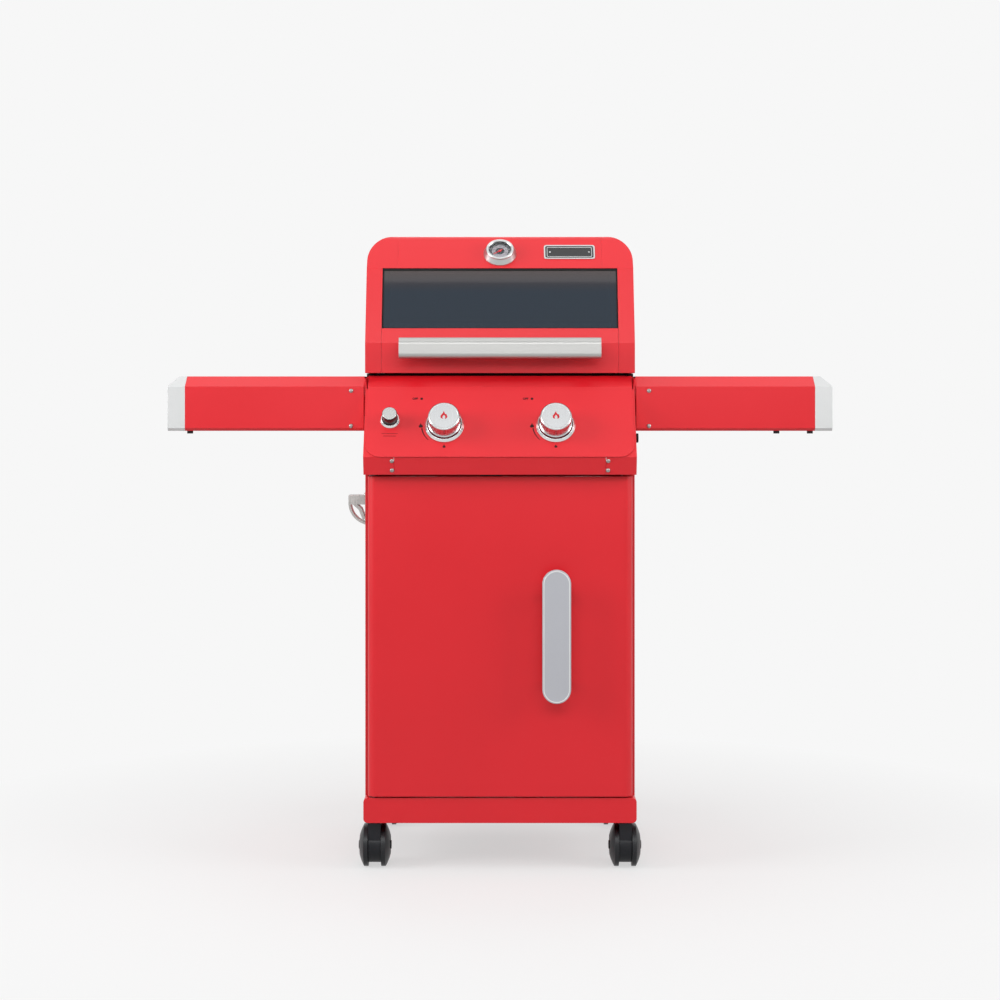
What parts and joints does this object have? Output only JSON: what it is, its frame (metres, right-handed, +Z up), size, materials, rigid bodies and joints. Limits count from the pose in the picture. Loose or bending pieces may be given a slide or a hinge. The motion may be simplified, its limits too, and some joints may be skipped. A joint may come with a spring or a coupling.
{
  "type": "gas barbecue grill",
  "caption": "Red gas barbecue grill on a cabinet cart, with a windowed lid, side shelves, knobs, a bottle opener and swivel casters.",
  "frame": {"origin": "on the floor under the middle of the grill", "axes": "+X to the right seen from the front, -Y towards the front, +Z up"},
  "size_m": [1.228, 0.5332, 1.175],
  "materials": {
    "red_paint": "satin powder coat",
    "silver_paint": "matte",
    "black_enamel": "satin",
    "zinc_steel": "satin",
    "opener_steel": "satin",
    "polished": "polished",
    "aluminium": "brushed",
    "knob_silver": "satin",
    "cast_iron": "matte",
    "brass": "satin",
    "black_plastic": "matte",
    "black_rubber": "matte",
    "dark_glass": "polished",
    "clear_glass": "polished",
    "dial_face": "matte",
    "needle_red": "matte"
  },
  "bodies": {
    "cart": {"base_tray": "red_paint", "caster_sockets": "zinc_steel", "side_panel_left": "red_paint", "side_panel_right": "red_paint", "rear_panel": "red_paint", "front_rail": "red_paint", "panel_ends": "red_paint", "control_panel": "red_paint", "bezels": "polished", "igniter_module": "black_plastic", "manifold": "zinc_steel", "valves": "brass", "burners": "zinc_steel", "flame_tamers": "zinc_steel", "grates": "cast_iron", "firebox": "black_enamel", "warming_rack": "polished", "tray_rails": "zinc_steel", "lid_hinges": "zinc_steel", "door_hinges": "zinc_steel", "door_magnet": "zinc_steel", "bottle_opener": "opener_steel", "shelf_left": "red_paint", "shelf_right": "red_paint", "shelf_caps": "silver_paint", "shelf_brackets": "zinc_steel", "screws": "polished", "rubber_plugs": "black_rubber"},
    "door": {"door_skin": "red_paint", "door_inner": "red_paint", "door_handle": "knob_silver", "door_handle_posts": "zinc_steel", "door_strike": "zinc_steel"},
    "lid": {"lid_end_left": "red_paint", "lid_end_right": "red_paint", "lid_roof": "red_paint", "lid_front": "red_paint", "lid_glass": "dark_glass", "glass_retainers": "zinc_steel", "lid_handle": "aluminium", "lid_handle_brackets": "black_plastic", "gauge_case": "polished", "gauge_dial": "dial_face", "gauge_lens": "clear_glass"},
    "needle": {"gauge_needle": "needle_red"},
    "stem_left": {"valve_stem_left": "zinc_steel"},
    "stem_right": {"valve_stem_right": "zinc_steel"},
    "knob_left": {"knob_left": "knob_silver"},
    "knob_right": {"knob_right": "knob_silver"},
    "igniter": {"igniter_button": "polished"},
    "tray": {"grease_tray": "zinc_steel"},
    "caster_front_left": {"caster_front_left": "black_plastic"},
    "wheels_front_left": {"wheels_front_left": "black_plastic"},
    "caster_front_right": {"caster_front_right": "black_plastic"},
    "wheels_front_right": {"wheels_front_right": "black_plastic"},
    "caster_rear_left": {"caster_rear_left": "black_plastic"},
    "wheels_rear_left": {"wheels_rear_left": "black_plastic"},
    "caster_rear_right": {"caster_rear_right": "black_plastic"},
    "wheels_rear_right": {"wheels_rear_right": "black_plastic"}
  },
  "joints": [
    {"name": "lid_hinge", "type": "hinge", "parent": "cart", "child": "lid", "pos_m": [0, 0.25659, 0.90601], "axis": [-1, 0, 0], "range_deg": [0, 85]},
    {"name": "door_hinge", "type": "hinge", "parent": "cart", "child": "door", "pos_m": [-0.232, -0.20641, 0.43], "axis": [0, 0, -1], "range_deg": [0, 110]},
    {"name": "needle_turn", "type": "hinge", "parent": "lid", "child": "needle", "pos_m": [0, -0.09963, 1.13935], "axis": [0, 0.766, -0.6428], "range_deg": [0, 250]},
    {"name": "tray_slide", "type": "slide", "parent": "cart", "child": "tray", "axis": [0, 1, 0], "range_m": [0, 0.2]},
    {"name": "igniter_push", "type": "slide", "parent": "cart", "child": "igniter", "axis": [0, 0.866, -0.5], "range_m": [0, 0.003], "stiffness_N_per_m": 600, "springref_m": -0.004},
    {"name": "knob_push_left", "type": "slide", "parent": "cart", "child": "stem_left", "axis": [0, 0.866, -0.5], "range_m": [0, 0.003], "stiffness_N_per_m": 1200, "springref_m": -0.003},
    {"name": "knob_turn_left", "type": "hinge", "parent": "stem_left", "child": "knob_left", "pos_m": [-0.1015, -0.22191, 0.81729], "axis": [0, -0.866, 0.5], "range_deg": [0, 180]},
    {"name": "knob_push_right", "type": "slide", "parent": "cart", "child": "stem_right", "axis": [0, 0.866, -0.5], "range_m": [0, 0.003], "stiffness_N_per_m": 1200, "springref_m": -0.003},
    {"name": "knob_turn_right", "type": "hinge", "parent": "stem_right", "child": "knob_right", "pos_m": [0.1015, -0.22191, 0.81729], "axis": [0, -0.866, 0.5], "range_deg": [0, 180]},
    {"name": "swivel_front_left", "type": "hinge", "parent": "cart", "child": "caster_front_left", "pos_m": [-0.2315, -0.17941, 0.1], "axis": [0, 0, 1], "continuous": true},
    {"name": "roll_front_left", "type": "hinge", "parent": "caster_front_left", "child": "wheels_front_left", "pos_m": [-0.2315, -0.16141, 0.039], "axis": [1, 0, 0], "continuous": true},
    {"name": "swivel_front_right", "type": "hinge", "parent": "cart", "child": "caster_front_right", "pos_m": [0.2315, -0.17941, 0.1], "axis": [0, 0, 1], "continuous": true},
    {"name": "roll_front_right", "type": "hinge", "parent": "caster_front_right", "child": "wheels_front_right", "pos_m": [0.2315, -0.16141, 0.039], "axis": [1, 0, 0], "continuous": true},
    {"name": "swivel_rear_left", "type": "hinge", "parent": "cart", "child": "caster_rear_left", "pos_m": [-0.2315, 0.17859, 0.1], "axis": [0, 0, 1], "continuous": true},
    {"name": "roll_rear_left", "type": "hinge", "parent": "caster_rear_left", "child": "wheels_rear_left", "pos_m": [-0.2315, 0.19659, 0.039], "axis": [1, 0, 0], "continuous": true},
    {"name": "swivel_rear_right", "type": "hinge", "parent": "cart", "child": "caster_rear_right", "pos_m": [0.2315, 0.17859, 0.1], "axis": [0, 0, 1], "continuous": true},
    {"name": "roll_rear_right", "type": "hinge", "parent": "caster_rear_right", "child": "wheels_rear_right", "pos_m": [0.2315, 0.19659, 0.039], "axis": [1, 0, 0], "continuous": true}
  ]
}
